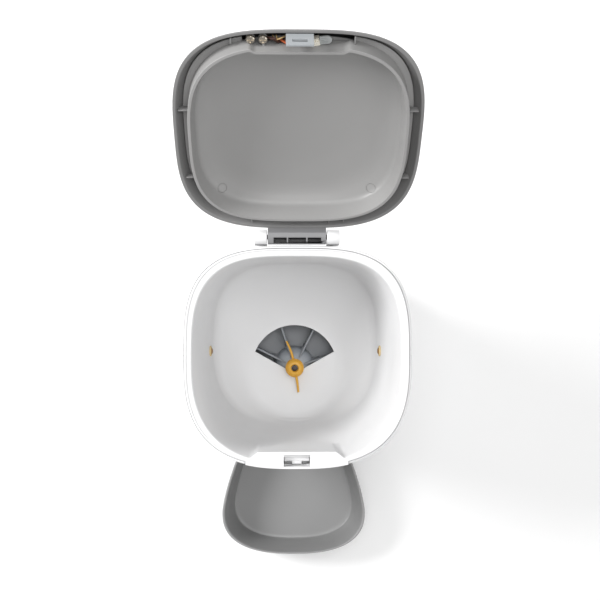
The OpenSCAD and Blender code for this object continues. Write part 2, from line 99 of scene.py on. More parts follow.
CAMERA_PLACE = (-0.01369, 0.04827, 1.13565)
CAMERA_TILT = math.radians(-1.067)
CAMERA_LENS = 62.14

# Carries a piece drawn on the shut lid to where the open lid stands
ON_LID = (
    Matrix.Translation((0, HINGE_Y * MM, HINGE_Z * MM))
    @ Matrix.Rotation(-LID_OPEN, 4, "X")
    @ Matrix.Translation((0, -HINGE_Y * MM, -HINGE_Z * MM))
)


# ---------------------------------------------------------------- mesh tools

def outline_r(t, a, b, n):
    """Radius of a rounded-square outline of half sizes a and b at the angles t."""
    return (np.abs(np.cos(t) / a) ** n + np.abs(np.sin(t) / b) ** n) ** (-1 / n)


def angles(count, start=0.0, turn=2 * math.pi, closed=True):
    return start + turn * np.arange(count) / (count if closed else count - 1)


def smooth_rows(rows, reach, steps=5, closed=False):
    """Rounds the corners of a profile. Each row is [a, b, cy, z, n_front, n_rear]; reach is
    how far from a corner, in millimetres, its rounding starts."""
    rows = [np.array(r, float) for r in rows]
    reach = reach if isinstance(reach, (list, tuple)) else [reach] * len(rows)
    out = []
    for i, p in enumerate(rows):
        if not closed and i in (0, len(rows) - 1):
            out.append(p)
            continue
        before, after = rows[i - 1] - p, rows[(i + 1) % len(rows)] - p
        span_b, span_a = np.hypot(before[0], before[3]), np.hypot(after[0], after[3])
        start = p + before * min(0.45, reach[i] / max(span_b, 1e-6))
        end = p + after * min(0.45, reach[i] / max(span_a, 1e-6))
        for t in np.linspace(0, 1, steps):
            out.append((1 - t) ** 2 * start + 2 * t * (1 - t) * p + t ** 2 * end)
    return out


def row_ring(row, turn, limit=None):
    """Points of one profile row at the angles turn. limit(points, z) may reshape them."""
    a, b, cy, z, nf, nr = row
    n = np.where(np.sin(turn) < 0, nf, nr)
    r = outline_r(turn, a, b, n)
    points = np.stack([r * np.cos(turn), cy + r * np.sin(turn), np.full_like(turn, z)], 1)
    return limit(points, z) if limit else points


def add_object(name, data):
    """A new object in the scene around a mesh, curve, light or camera."""
    obj = bpy.data.objects.new(name, data)
    bpy.context.collection.objects.link(obj)
    return obj


def mesh_object(name, points, faces, matrix=None):
    """A new mesh object from points in millimetres."""
    mesh = bpy.data.meshes.new(name)
    mesh.from_pydata([tuple(p) for p in np.asarray(points) * MM], [], faces)
    if matrix is not None:
        mesh.transform(matrix)
    obj = add_object(name, mesh)
    tidy_mesh(obj)
    return obj


def tidy_mesh(obj, angle=35):
    """Outward normals, smooth faces, and sharp edges where the surface turns."""
    bm = bmesh.new()
    bm.from_mesh(obj.data)
    bmesh.ops.remove_doubles(bm, verts=bm.verts, dist=1e-6)
    bmesh.ops.recalc_face_normals(bm, faces=bm.faces)
    bm.to_mesh(obj.data)
    bm.free()
    obj.data.polygons.foreach_set("use_smooth", [True] * len(obj.data.polygons))
    obj.data.set_sharp_from_angle(angle=math.radians(angle))


def loft(name, rings, closed_profile=False, closed_ring=True, matrix=None):
    """A closed solid through rings of equal length, capped where it doesn't close."""
    m, n = len(rings), len(rings[0])
    points = np.concatenate(rings)
    faces = []
    for k in range(m if closed_profile else m - 1):
        k1 = (k + 1) % m
        for i in range(n if closed_ring else n - 1):
            j = (i + 1) % n
            faces.append((k * n + i, k * n + j, k1 * n + j, k1 * n + i))
    if not closed_profile:
        faces.append(tuple(range(n)))
        faces.append(tuple((m - 1) * n + i for i in range(n)))
    if not closed_ring:
        faces.append(tuple(k * n for k in range(m)))
        faces.append(tuple(k * n + n - 1 for k in range(m)))
    return mesh_object(name, points, faces, matrix)


def prism(name, outline, lo, hi, axis="z", matrix=None):
    """A prism of an outline of (u, v) points, from lo to hi along an axis."""
    place = {
        "x": lambda u, v, w: (w, u, v),
        "y": lambda u, v, w: (u, w, v),
        "z": lambda u, v, w: (u, v, w),
    }[axis]
    n = len(outline)
    points = [place(u, v, w) for w in (lo, hi) for u, v in outline]
    faces = [(i, (i + 1) % n, n + (i + 1) % n, n + i) for i in range(n)]
    faces += [tuple(range(n)), tuple(range(n, 2 * n))]
    return mesh_object(name, points, faces, matrix)


def block(name, lo, hi, matrix=None):
    outline = [(lo[0], lo[1]), (hi[0], lo[1]), (hi[0], hi[1]), (lo[0], hi[1])]
    return prism(name, outline, lo[2], hi[2], "z", matrix)


def disc(radius, cx, cy, count=48):
    return [(cx + radius * math.cos(t), cy + radius * math.sin(t)) for t in angles(count)]


def sector(r, start, end, steps):
    """Arc of (x, y) points from start to end degrees."""
    return [(r * math.cos(t), r * math.sin(t))
            for t in np.radians(np.linspace(start, end, steps))]


def apply_modifiers(obj):
    graph = bpy.context.evaluated_depsgraph_get()
    mesh = bpy.data.meshes.new_from_object(obj.evaluated_get(graph))
    obj.modifiers.clear()
    obj.data = mesh


def combine(obj, operation, tools):
    """Exact boolean of a piece with tool objects, which it deletes."""
    for tool in tools:
        mod = obj.modifiers.new("combine", "BOOLEAN")
        mod.operation = operation
        mod.solver = "EXACT"
        mod.object = tool
    apply_modifiers(obj)
    for tool in tools:
        bpy.data.objects.remove(tool)
    tidy_mesh(obj)
    return obj


def cut(obj, *tools):
    return combine(obj, "DIFFERENCE", tools)


def fuse(obj, *tools):
    return combine(obj, "UNION", tools)


def soften(obj, width, segments=3, angle=35):
    """Small rounds on the piece's sharp edges."""
    mod = obj.modifiers.new("rounds", "BEVEL")
    mod.width = width * MM
    mod.segments = segments
    mod.limit_method = "ANGLE"
    mod.angle_limit = math.radians(angle)
    mod.harden_normals = True
    return obj


def join(name, parts):
    """One object from several."""
    bm = bmesh.new()
    for part in parts:
        if part.modifiers:
            apply_modifiers(part)
        bm.from_mesh(part.data)
    mesh = bpy.data.meshes.new(name)
    bm.to_mesh(mesh)
    bm.free()
    for part in parts:
        bpy.data.objects.remove(part)
    obj = add_object(name, mesh)
    obj.data.polygons.foreach_set("use_smooth", [True] * len(mesh.polygons))
    obj.data.set_sharp_from_angle(angle=math.radians(35))
    return obj


def lathe(name, profile, centre, count=64, axis="z", matrix=None):
    """A turned piece: profile is (radius, height) points from axis to axis."""
    points, faces = [], []
    turn = angles(count)
    for r, h in profile:
        for t in turn:
            u, v = r * math.cos(t), r * math.sin(t)
            p = {"z": (u, v, h), "y": (u, h, v), "x": (h, u, v)}[axis]
            points.append(np.add(p, centre))
    m = len(profile)
    for k in range(m - 1):
        for i in range(count):
            j = (i + 1) % count
            faces.append((k * count + i, k * count + j, (k + 1) * count + j,
                          (k + 1) * count + i))
    obj = mesh_object(name, points, faces, matrix)
    bm = bmesh.new()
    bm.from_mesh(obj.data)
    bmesh.ops.dissolve_degenerate(bm, edges=bm.edges, dist=1e-7)
    bmesh.ops.holes_fill(bm, edges=[e for e in bm.edges if e.is_boundary])
    bm.to_mesh(obj.data)
    bm.free()
    tidy_mesh(obj)
    return obj


def turn_in_plan(obj, degrees, x, y):
    """Turns a piece about the upright line through x and y."""
    about = Vector((x, y, 0)) * MM
    turn = Matrix.Rotation(math.radians(degrees), 4, "Z")
    obj.data.transform(Matrix.Translation(about) @ turn @ Matrix.Translation(-about))


def set_on_rotor(obj, degrees):
    """Turns a piece drawn along +X and carries it to the rotor's axis."""
    turn = Matrix.Rotation(math.radians(degrees), 4, "Z")
    obj.data.transform(Matrix.Translation((0, ROTOR_Y * MM, 0)) @ turn)


# ---------------------------------------------------------------- materials

def plastic(name, colour, rough=0.4, grain=900, bump=0.05, mottle=0.03, coat=0.0,
            clear=0.0, metal=0.0):
    """Moulded plastic or metal: cloudy colour, uneven gloss and a fine moulded grain."""
    mat = bpy.data.materials.new(name)
    mat.use_nodes = True
    nodes, links = mat.node_tree.nodes, mat.node_tree.links
    shader = nodes["Principled BSDF"]
    shader.inputs["Coat Weight"].default_value = coat
    shader.inputs["Coat Roughness"].default_value = 0.12
    shader.inputs["Transmission Weight"].default_value = clear
    shader.inputs["Metallic"].default_value = metal
    shader.inputs["IOR"].default_value = 1.48
    place = nodes.new("ShaderNodeTexCoord")

    def noise(scale, detail):
        node = nodes.new("ShaderNodeTexNoise")
        node.inputs["Scale"].default_value = scale
        node.inputs["Detail"].default_value = detail
        links.new(place.outputs["Object"], node.inputs["Vector"])
        return node

    def ramp(source, low, high):
        node = nodes.new("ShaderNodeMapRange")
        node.inputs["From Min"].default_value = 0.3
        node.inputs["From Max"].default_value = 0.7
        node.inputs["To Min"].default_value = low
        node.inputs["To Max"].default_value = high
        links.new(source.outputs["Fac"], node.inputs["Value"])
        return node

    cloud = noise(22, 3)
    tint = nodes.new("ShaderNodeMix")
    tint.data_type = "RGBA"
    tint.inputs[6].default_value = (*[c * (1 - mottle) for c in colour], 1)
    tint.inputs[7].default_value = (*[min(1, c * (1 + mottle)) for c in colour], 1)
    links.new(cloud.outputs["Fac"], tint.inputs["Factor"])
    links.new(tint.outputs[2], shader.inputs["Base Color"])
    smudge = noise(60, 4)
    gloss = ramp(smudge, rough * 0.88, rough * 1.12)
    links.new(gloss.outputs["Result"], shader.inputs["Roughness"])
    texture = noise(grain, 2)
    height = nodes.new("ShaderNodeBump")
    height.inputs["Strength"].default_value = bump
    height.inputs["Distance"].default_value = 0.0003
    links.new(texture.outputs["Fac"], height.inputs["Height"])
    links.new(height.outputs["Normal"], shader.inputs["Normal"])
    return mat


WHITE = plastic("white_plastic", (0.78, 0.78, 0.785), 0.38, 1400, 0.03, 0.008)
HOPPER_WHITE = plastic("hopper_plastic", (0.72, 0.72, 0.723), 0.42, 260, 0.006, 0.006)
LID_GREY = plastic("lid_plastic", (0.215, 0.213, 0.212), 0.46, 2600, 0.16, 0.03)
LINER_GREY = plastic("liner_plastic", (0.30, 0.297, 0.294), 0.40, 2400, 0.10, 0.03)
BRACKET_GREY = plastic("bracket_plastic", (0.215, 0.215, 0.22), 0.42, 2400, 0.12, 0.04)
TRAY_GREY = plastic("tray_plastic", (0.25, 0.25, 0.25), 0.36, 2200, 0.08, 0.03)
DRIVE_GREY = plastic("drive_plastic", (0.20, 0.21, 0.225), 0.42, 2200, 0.10, 0.05)
ROTOR_GREY = plastic("rotor_plastic", (0.26, 0.275, 0.295), 0.40, 2200, 0.08, 0.04)
DARK_STEEL = plastic("dark_steel", (0.07, 0.06, 0.055), 0.46, 1800, 0.08, 0.05, metal=0.7)
RIM_BRASS = plastic("lens_rim", (0.62, 0.47, 0.24), 0.30, 1500, 0.05, 0.10)
AMBER = plastic("amber_plastic", (0.80, 0.42, 0.045), 0.36, 1800, 0.05, 0.05, clear=0.12)
LENS_AMBER = plastic("lens_plastic", (0.26, 0.13, 0.035), 0.16, 900, 0.01, 0.08, clear=0.15)
# Tongue grey: the liner's plastic made a little lighter, painted light for its brightly lit face.
TONGUE_PAINTED_LIGHT = plastic("tongue_plastic_painted_light", (0.34, 0.36, 0.375), 0.34, 2000, 0.06, 0.03)
# Steel pin whose near-black colour is painted shade, standing in for the shadow in the bracket's
# pockets and at the pin's ends.
PIN_PAINTED_SHADE = plastic("pin_steel_painted_shade", (0.05, 0.05, 0.052), 0.42, 1600, 0.10, 0.05, metal=0.6)
HUB_BLUE = plastic("rotor_hub_plastic", (0.36, 0.385, 0.415), 0.38, 2200, 0.08, 0.04)
STEEL = plastic("plain_steel", (0.60, 0.60, 0.61), 0.30, 1600, 0.12, 0.05, metal=1.0)
CHROME = plastic("plated_steel", (0.52, 0.47, 0.40), 0.22, 1800, 0.08, 0.05, metal=1.0)
BOARD = plastic("solder_mask", (0.02, 0.16, 0.07), 0.30, 1200, 0.10, 0.10, coat=0.4)
BLACK = plastic("black_plastic", (0.018, 0.018, 0.02), 0.45, 2200, 0.12, 0.08)
BUTTON = plastic("button_plastic", (0.28, 0.28, 0.285), 0.50, 2600, 0.14, 0.03)
CLEAR = plastic("clear_plastic", (0.90, 0.95, 0.95), 0.12, 900, 0.01, 0.02, clear=0.85)
TAB = plastic("tab_plastic", (0.52, 0.54, 0.54), 0.24, 1400, 0.03, 0.04, clear=0.35)
RUBBER = plastic("foot_rubber", (0.12, 0.12, 0.12), 0.75, 3000, 0.25, 0.06)
IVORY = plastic("ivory_plastic", (0.66, 0.64, 0.56), 0.45, 1800, 0.06, 0.03)
CREAM = plastic("connector_nylon", (0.80, 0.76, 0.66), 0.42, 1500, 0.04, 0.03)
WIRE_DARK = plastic("wire_dark_pvc", (0.05, 0.018, 0.012), 0.35, 1500, 0.05, 0.10)
WIRE_ORANGE = plastic("wire_orange_pvc", (0.60, 0.12, 0.03), 0.35, 1500, 0.05, 0.08)
WIRE_TAN = plastic("wire_tan_pvc", (0.58, 0.40, 0.18), 0.35, 1500, 0.05, 0.08)


def finish_piece(obj, body, slot, material, *nodes):
    """Rides a piece on its body, gives it its material, and hides CAD nodes; slot is not used."""
    obj.data.materials.clear()
    obj.data.materials.append(material)
    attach(obj, body)
    if nodes:
        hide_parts(*nodes)
    return obj


# ---------------------------------------------------------------- outer shells

def body_row(inset, z, n_front=N_FRONT, n_rear=N_REAR):
    return [HALF_W - inset, HALF_D - inset, 0, z, n_front, n_rear]


def shell_rows():
    rows = [(5, BASE_Z), (3.2, 40), (1, 110), (0, 190), (0, LEDGE_Z - 2.4), (0.5, LEDGE_Z - 0.5),
            (1.4, LEDGE_Z), (LIP_IN, LEDGE_Z), (LIP_IN, LEDGE_Z - 6), (WALL, LEDGE_Z - 9),
            (WALL, 190), (1 + WALL, 110), (3.2 + WALL, 40), (5 + WALL, BASE_Z)]
    reach = [0.4, 16, 30, 30, 1.6, 0.8, 0.5, 0.25, 0.8, 0.8, 30, 30, 16, 0.4]
    return smooth_rows([body_row(*r) for r in rows], reach, 5, closed=True)


def half_shell(name, start):
    """Front or rear half of the shell, from one side's parting line to the other's."""
    gap = math.radians(0.12)
    tilt = math.asin(1.5 / HALF_W)
    turn = math.pi + (2 * tilt if start else -2 * tilt) - 2 * gap
    first = (math.pi - tilt if start else tilt) + gap
    spread = angles(260, first, turn, closed=False)
    rings = [row_ring(row, spread) for row in shell_rows()]
    return loft(name, rings, closed_profile=True, closed_ring=False)


def alcove_tool():
    corner, top, half = 20, 88, 62
    right = [(half - corner + x, top - corner + z) for x, z in sector(corner, 0, 90, 16)]
    left = [(-half + corner + x, top - corner + z) for x, z in sector(corner, 90, 180, 16)]
    return prism("tool", [(-half, -1), (half, -1)] + right + left, -HALF_D - 10, -20, "y")


def screw_bosses(places):
    """Bosses over the base screws, each tied to the side wall by a rib."""
    parts = []
    for x, y in places:
        tube = [(1.6, BOSS_Z), (3.8, BOSS_Z), (3.8, BOSS_Z + 13), (1.6, BOSS_Z + 13),
                (1.6, BOSS_Z)]
        parts.append(lathe("boss", tube, (x, y, 0), 40))
        near, far = x + math.copysign(3, x), x + math.copysign(23.2, x)
        parts.append(block("rib", (min(near, far), y - 1, BOSS_Z),
                           (max(near, far), y + 1, BOSS_Z + 11)))
    return parts


def build_shells():
    front = half_shell("shell_front_skin", True)
    cut(front, alcove_tool(),
        block("tool", (-44.3, -HALF_D - 5, RIM_Z - 11), (44.3, -HALF_D + 12, RIM_Z + 1)),
        block("tool", (-15.4, -HALF_D - 5, BUTTON_Z - 7.4),
              (15.4, -HALF_D + 12, BUTTON_Z + 7.4)),
        prism("tool", disc(7.7, 0, FEED_Z), -HALF_D - 5, -HALF_D + 12, "y"),
        prism("tool", disc(2.1, 0, LIGHT_Z), -HALF_D - 5, -HALF_D + 12, "y"))
    front = join("shell_front_skin", [front] + screw_bosses(FRONT_SCREWS))
    finish_piece(front, "housing", "white_shell", WHITE, "shell_front")
    rear = half_shell("shell_rear_skin", False)
    cut(rear, prism("tool", disc(4.3, INLET_X, INLET_Z), HALF_D - 16, HALF_D + 5, "y"))
    rear = join("shell_rear_skin", [rear] + screw_bosses(REAR_SCREWS))
    finish_piece(rear, "housing", "white_shell", WHITE, "shell_rear")


# ---------------------------------------------------------------- hopper

BLOCK_Y = -HALF_D + 14.6
BLOCK_HALF = 33.0
BLOCK_ROOT = (43.5, -HALF_D + 6.6)


def soft_max(a, b, k):
    """The larger of two values, rounded over about k where they cross."""
    h = np.clip(0.5 + 0.5 * (a - b) / k, 0, 1)
    return b * (1 - h) + a * h + k * h * (1 - h)


def notch_limit(flat_y, half, root, k):
    """Holds points of a front wall behind a latch block with slanted sides."""
    slant = (root[1] - flat_y) / (root[0] - half)

    def limit(points, z):
        x, y = points[:, 0], points[:, 1]
        wall = np.where(np.abs(x) < half, flat_y, flat_y + slant * (np.abs(x) - half))
        front = y < flat_y * 0.5
        points[:, 1] = np.where(front, soft_max(y, wall, k), y)
        return points

    return limit


def front_arc(inset, half, steps=40):
    """Points of the body's outline across the front, from x = -half to half."""
    a, b = HALF_W - inset, HALF_D - inset
    x = np.linspace(-half, half, steps)
    return [(v, -b * (1 - abs(v / a) ** N_FRONT) ** (1 / N_FRONT)) for v in x]


def latch_tools():
    """Cutters for the latch hole in the rim and the pocket of the release arm below it."""
    y0, y1 = -HALF_D + 2.1, -HALF_D + 12
    spans = [(y0, RIM_Z - 4.5, y1, RIM_Z + 1), (y0, RIM_Z - 12, y1 - 2.5, RIM_Z - 4),
             (y0, RIM_Z - 15.4, y1 + 1, RIM_Z - 6.8)]
    tools = [block("tool", (-LATCH_HW, lo, z0), (LATCH_HW, hi, z1)) for lo, z0, hi, z1 in spans]
    tools.append(block("tool", (-15.6, -HALF_D - 4, BUTTON_Z - 8), (15.6, y1 + 1, BUTTON_Z + 8)))
    return tools


def build_hopper():
    """Funnel with its rim, fan-shaped opening, and latch block in the front wall."""
    turn = angles(480, -math.pi / 2)
    inner = notch_limit(BLOCK_Y, BLOCK_HALF, BLOCK_ROOT, 1.6)
    cw, cd = HALF_W - COLLAR_IN, HALF_D - COLLAR_IN
    outside = smooth_rows([
        [ROTOR_R + 3, ROTOR_R + 3, ROTOR_Y, FLOOR_Z - 2.5, 2, 2],
        [NECK_HW + 2.5, NECK_HD + 2.5, NECK_Y, NECK_Z - 3, 2.5, 2.9],
        [MOUTH_HW + 2.2, MOUTH_HD + 2.1, MOUTH_Y, RIM_Z - 10, 2.6, N_REAR],
        [cw, cd, 0, RIM_Z - 10, N_FRONT, N_REAR],
        [cw, cd, 0, RIM_Z - 0.9, N_FRONT, N_REAR],
        [cw - 0.6, cd - 0.6, 0, RIM_Z, N_FRONT, N_REAR]], [0, 12, 0.6, 0.6, 0.9, 0], 6)
    crest = smooth_rows([
        [cw - 0.6, cd - 0.6, 0, RIM_Z, N_FRONT, N_REAR],
        [cw - 1.8, cd - 1.5, 0, RIM_Z, N_FRONT, N_REAR],
        [cw - 2.1, cd - 1.7, -0.1, RIM_Z - 0.7, N_FRONT, N_REAR],
        [MOUTH_HW + 1.0, MOUTH_HD + 0.8, MOUTH_Y, RIM_Z - 0.7, 2.6, N_REAR],
        [MOUTH_HW, MOUTH_HD, MOUTH_Y, RIM_Z - 2.4, 2.6, N_REAR]], [0, .3, .3, .9, 0], 5)
    wall = smooth_rows([
        [MOUTH_HW, MOUTH_HD, MOUTH_Y, RIM_Z - 2.4, 2.6, N_REAR],
        [(MOUTH_HW + NECK_HW) / 2, (MOUTH_HD + NECK_HD) / 2, (MOUTH_Y + NECK_Y) / 2,
         (RIM_Z - 2.4 + NECK_Z) / 2, 2.55, 3.05],
        [NECK_HW, NECK_HD, NECK_Y, NECK_Z, 2.5, 2.9],
        [ROTOR_R + 12, ROTOR_R + 12, ROTOR_Y + 4, FLOOR_Z + 3.4, 2, 2],
        [ROTOR_R + 0.6, ROTOR_R + 0.6, ROTOR_Y, FLOOR_Z, 2, 2]], [0, 20, 9, 8, 0], 10)
    rings = [row_ring(r, turn) for r in outside]
    rings += [row_ring(r, turn, inner) for r in crest[1:] + wall[1:]]
    cup = loft("hopper_skin", rings)
    apex = (0, ROTOR_Y - 6)
    fan = [apex] + [(x, ROTOR_Y + y) for x, y in sector(42, 22, 158, 64)]
    tab = front_arc(0.2, 43.5) + front_arc(4.0, 43.5)[::-1]
    fuse(cup, prism("tab", tab, RIM_Z - 10.6, RIM_Z - 0.02))
    cut(cup, prism("tool", fan, FLOOR_Z - 8, FLOOR_Z + 3), *latch_tools())
    finish_piece(cup, "housing", "hopper_white", HOPPER_WHITE, "hopper")


# ---------------------------------------------------------------- lid

def lid_row(inset, z):
    return [LID_HW - inset, LID_HD - inset, LID_Y, z, N_LID, N_REAR]


def lid_edge_x(inset, y):
    """Half width of the closed lid's outline at a given y."""
    n = N_LID if y < LID_Y else N_REAR
    return (LID_HW - inset) * (1 - abs((y - LID_Y) / (LID_HD - inset)) ** n) ** (1 / n)


def lid_edge_y(inset, x):
    """Distance from the lid's middle to its front edge, and to its rear edge, at a given x."""
    return [(LID_HD - inset) * (1 - abs(x / (LID_HW - inset)) ** n) ** (1 / n)
            for n in (N_LID, N_REAR)]


def build_lid_cover():
    """Outer shell of the lid, one skin from the inside of its crown over the skirt."""
    turn = angles(360)
    inner = [[45, 43, LID_Y, LID_TOP - 2.4, 2.2, 2.2], lid_row(26.4, LID_TOP - 6.5),
             lid_row(18.9, RIM_Z + 27.3), lid_row(14.4, RIM_Z + 22), lid_row(10.2, RIM_Z + 15),
             lid_row(7.3, RIM_Z + 10), lid_row(4.7, RIM_Z + 5.8), lid_row(2.5, RIM_Z + 0.6)]
    outer = [lid_row(0, RIM_Z + 0.6), lid_row(0.15, RIM_Z + 2), lid_row(2.3, RIM_Z + 5.8),
             lid_row(4.9, RIM_Z + 10), lid_row(7.8, RIM_Z + 15), lid_row(12, RIM_Z + 22),
             lid_row(17, RIM_Z + 29), lid_row(25, LID_TOP - 4.5),
             [45, 43, LID_Y, LID_TOP, 2.2, 2.2]]
    reach = [0, 10, 4, 3, 3, 2, 2, 0.5, 0.5, 0.7, 2, 2, 3, 3, 4, 8, 0]
    rings = [row_ring(r, turn) for r in smooth_rows(inner + outer, reach, 6)]
    cover = loft("lid_cover_skin", rings, matrix=ON_LID)
    finish_piece(cover, "lid", "lid_grey", LID_GREY, "lid_cover")


def pin_mark(liner, x, y, radius=4.0):
    """Cutter for a shallow round moulding mark in the dish, square to its surface."""
    start = ON_LID @ Vector((x * MM, y * MM, (RIM_Z - 30) * MM))
    up = ON_LID.to_3x3() @ Vector((0, 0, 1))
    hit, place, normal, _ = liner.ray_cast(start, up)
    if not hit:
        raise ValueError("no dish surface above the mark")
    groove = [(radius - 0.35, -0.25), (radius, -0.25), (radius, 2), (radius - 0.35, 2),
              (radius - 0.35, -0.25)]
    stand = Matrix.Translation(place) @ normal.to_track_quat("Z", "Y").to_matrix().to_4x4()
    return lathe("tool", groove, (0, 0, 0), 40, "z", stand)


def build_lid_liner():
    """Dish inside the lid with its standing wall, flange and moulding marks."""
    turn = angles(480)
    wall_notch = notch_limit(PLUG_NOTCH_Y, 32.8, (40.8, -83.9), 0.8)
    dish_notch = notch_limit(PLUG_NOTCH_Y + 2.1, 32.2, (40.6, -81.8), 0.8)
    under = smooth_rows([
        [20, 18, PLUG_Y, RIM_Z + 21.5, 2, 2],
        [45, 44, PLUG_Y, RIM_Z + 21, 2.1, 2.1],
        [69, 67, PLUG_Y, RIM_Z + 18, 2.5, 2.6],
        [80.2, 77.8, PLUG_Y, RIM_Z + 10.5, 2.8, N_REAR],
        [82.8, 80.3, PLUG_Y, RIM_Z - 6, 3, N_REAR]], [0, 10, 9, 3.2, 0], 10)
    lip = smooth_rows([
        [82.8, 80.3, PLUG_Y, RIM_Z - 6, 3, N_REAR],
        [85, 82.4, PLUG_Y, RIM_Z - 6, 3, N_REAR],
        [85.2, 82.6, PLUG_Y, RIM_Z + 8, 3, N_REAR]], [0, 0.5, 0], 6)
    flange = smooth_rows([
        [85.2, 82.6, PLUG_Y, RIM_Z + 8, 3, N_REAR], lid_row(7.6, RIM_Z + 8),
        lid_row(7.6, RIM_Z + 10), [84.4, 81.8, PLUG_Y, RIM_Z + 10, 3, N_REAR],
        [83, 80.4, PLUG_Y, RIM_Z + 13.4, 2.8, N_REAR],
        [71, 69, PLUG_Y, RIM_Z + 20.2, 2.4, 2.6], [45, 44, PLUG_Y, RIM_Z + 23, 2, 2]],
        0.5, 4)
    rings = [row_ring(r, turn, dish_notch) for r in under]
    rings += [row_ring(r, turn, wall_notch) for r in lip[1:]]
    rings += [row_ring(r, turn) for r in flange[1:]]
    liner = loft("lid_liner_skin", rings, matrix=ON_LID)
    cut(liner, block("tool", (-42, -HALF_D - 2, RIM_Z + 6.9), (41, -79.4, RIM_Z + 11), ON_LID))
    cut(liner, *[pin_mark(liner, x, 60) for x in (-62, 61)])
    finish_piece(liner, "lid", "liner_grey", LINER_GREY, "lid_liner")


def build_lid_ribs():
    """Thin stiffening ribs between the skirt and the liner's standing wall."""
    half = 0.6
    low, high = RIM_Z + 1.6, RIM_Z + 7.4
    ribs = []
    for y in (-23, 41.5):
        for side in (-1, 1):
            xs = sorted((side * 84.0, side * lid_edge_x(4.2, y)))
            ribs.append(block("rib", (xs[0], y - half, low), (xs[1], y + half, high), ON_LID))
    for x in (-37.9, 26.7, 39.1):
        end = LID_Y + lid_edge_y(4.2, x)[1]
        ribs.append(block("rib", (x - half, 80.4, low), (x + half, end, high), ON_LID))
    for x in (-50, 40.4):
        end = LID_Y - lid_edge_y(4.2, x)[0]
        ribs.append(block("rib", (x - half, end, low), (x + half, -81, high), ON_LID))
    for rib in ribs:
        soften(rib, 0.25, 2)
    piece = join("lid_ribs", ribs)
    finish_piece(piece, "lid", "lid_grey", LID_GREY)


def build_hinge():
    """Bracket block on the pin with three pockets, drawn as it stands with the lid open."""
    half = node_box("hinge_bracket")[1][0]
    profile = [(-6.2, -2.0), (-6.2, 1.8), (-5.4, 3.6), (-3.2, 5.0), (0, 5.7), (3.4, 5.8),
               (5.0, 4.4), (8.6, 2.4), (7.6, -2.0), (4.2, -4.0), (0, -5.6), (-4.0, -4.6)]
    outline = [(HINGE_Y + y, HINGE_Z + z) for y, z in profile]
    body = prism("hinge_bracket_skin", outline, -half, half, "x")
    pockets = [(-19.6, -8.6), (-7.3, 7.7), (9.1, 20.4)]
    tools = [block("tool", (lo, HINGE_Y - 5.1, HINGE_Z - 3.2), (hi, HINGE_Y - 0.8, HINGE_Z + 9))
             for lo, hi in pockets]
    cut(body, *tools)
    soften(body, 0.45, 3)
    finish_piece(body, "lid", "bracket_grey", BRACKET_GREY, "hinge_bracket")
    # Black sheets on the pocket floors are painted shade: they stand where the pockets are dark
    # only with shadow.
    pocket_shade_sheets = [block("floor", (lo + 0.1, HINGE_Y - 5.0, HINGE_Z - 3.1),
                    (hi - 0.1, HINGE_Y - 2.3, HINGE_Z - 2.6)) for lo, hi in pockets]
    finish_piece(join("bracket_pocket_painted_shade", pocket_shade_sheets), "lid", "bracket_grey", BLACK)


def build_tongue():
    """Latch tongue with its slot, on a shelf that carries it inside the lid's front."""
    y0, y1 = -HALF_D + 4.1, -HALF_D + 5.6
    plate = block("latch_tongue_skin", (-10, y0, RIM_Z - 14.4), (10, y1, RIM_Z + 0.5), ON_LID)
    fuse(plate, block("shelf", (-10, y0 + 0.8, RIM_Z - 0.4), (10, y1 + 4.9, RIM_Z + 2), ON_LID))
    cut(plate, block("tool", (-5.5, y0 - 2, RIM_Z - 10.4), (5.5, y1 + 2, RIM_Z - 6.4), ON_LID))
    soften(plate, 0.3, 3)
    finish_piece(plate, "lid", "tongue_grey", TONGUE_PAINTED_LIGHT, "latch_tongue")


def cross_screw(name, radius, centre, depth):
    """A pan-head screw whose head faces down from the closed lid."""
    dome = [(0, -2.0), (radius * 0.5, -1.9), (radius * 0.85, -1.3), (radius, -0.3),
            (radius, 0), (1.4, 0), (1.4, depth), (0, depth)]
    head = lathe(name, dome, centre, 40, "z")
    for turn in (0, 1):
        size = (radius * 0.62, 0.42) if turn else (0.42, radius * 0.62)
        tool = block("tool", (centre[0] - size[0], centre[1] - size[1], centre[2] - 3),
                     (centre[0] + size[0], centre[1] + size[1], centre[2] - 0.9))
        cut(head, tool)
    head.data.transform(ON_LID)
    return head


def build_lid_screws():
    z = RIM_Z + 2
    screws = [cross_screw("screw", 3.6, (x, LID_SCREW_Y, z), 4) for x in (-35.6, -26.5)]
    piece = join("lid_screws_skin", screws)
    finish_piece(piece, "lid", "screw_steel", CHROME, "lid_screws")
    posts = []
    for x in (-35.2, -26.2):
        post = block("post", (x - 0.8, LID_SCREW_Y, z + 0.4), (x + 0.8, -76.6, z + 5))
        collar = lathe("collar", [(1.6, z + 0.1), (3.0, z + 0.1), (3.2, z + 3), (1.6, z + 3)],
                       (x - 0.4, LID_SCREW_Y, 0), 32)
        for part in (post, collar):
            part.data.transform(ON_LID)
            posts.append(part)
    finish_piece(join("lid_screw_posts", posts), "lid", "liner_grey", LINER_GREY)


def wire_piece(name, routes, radius, slot, material, *nodes):
    """Short insulated wires: one round tube along each route of (x, y, z) points."""
    parts = []
    for route in routes:
        curve = bpy.data.curves.new("route", "CURVE")
        curve.dimensions = "3D"
        curve.bevel_depth = radius * MM
        curve.bevel_resolution = 4
        curve.use_fill_caps = True
        line = curve.splines.new("BEZIER")
        line.bezier_points.add(len(route) - 1)
        for point, place in zip(line.bezier_points, route):
            point.co = ON_LID @ (Vector(place) * MM)
            point.handle_left_type = point.handle_right_type = "AUTO"
        holder = add_object("route", curve)
        graph = bpy.context.evaluated_depsgraph_get()
        mesh = bpy.data.meshes.new_from_object(holder.evaluated_get(graph))
        bpy.data.objects.remove(holder)
        parts.append(add_object("tube", mesh))
    finish_piece(join(name, parts), "lid", slot, material, *nodes)


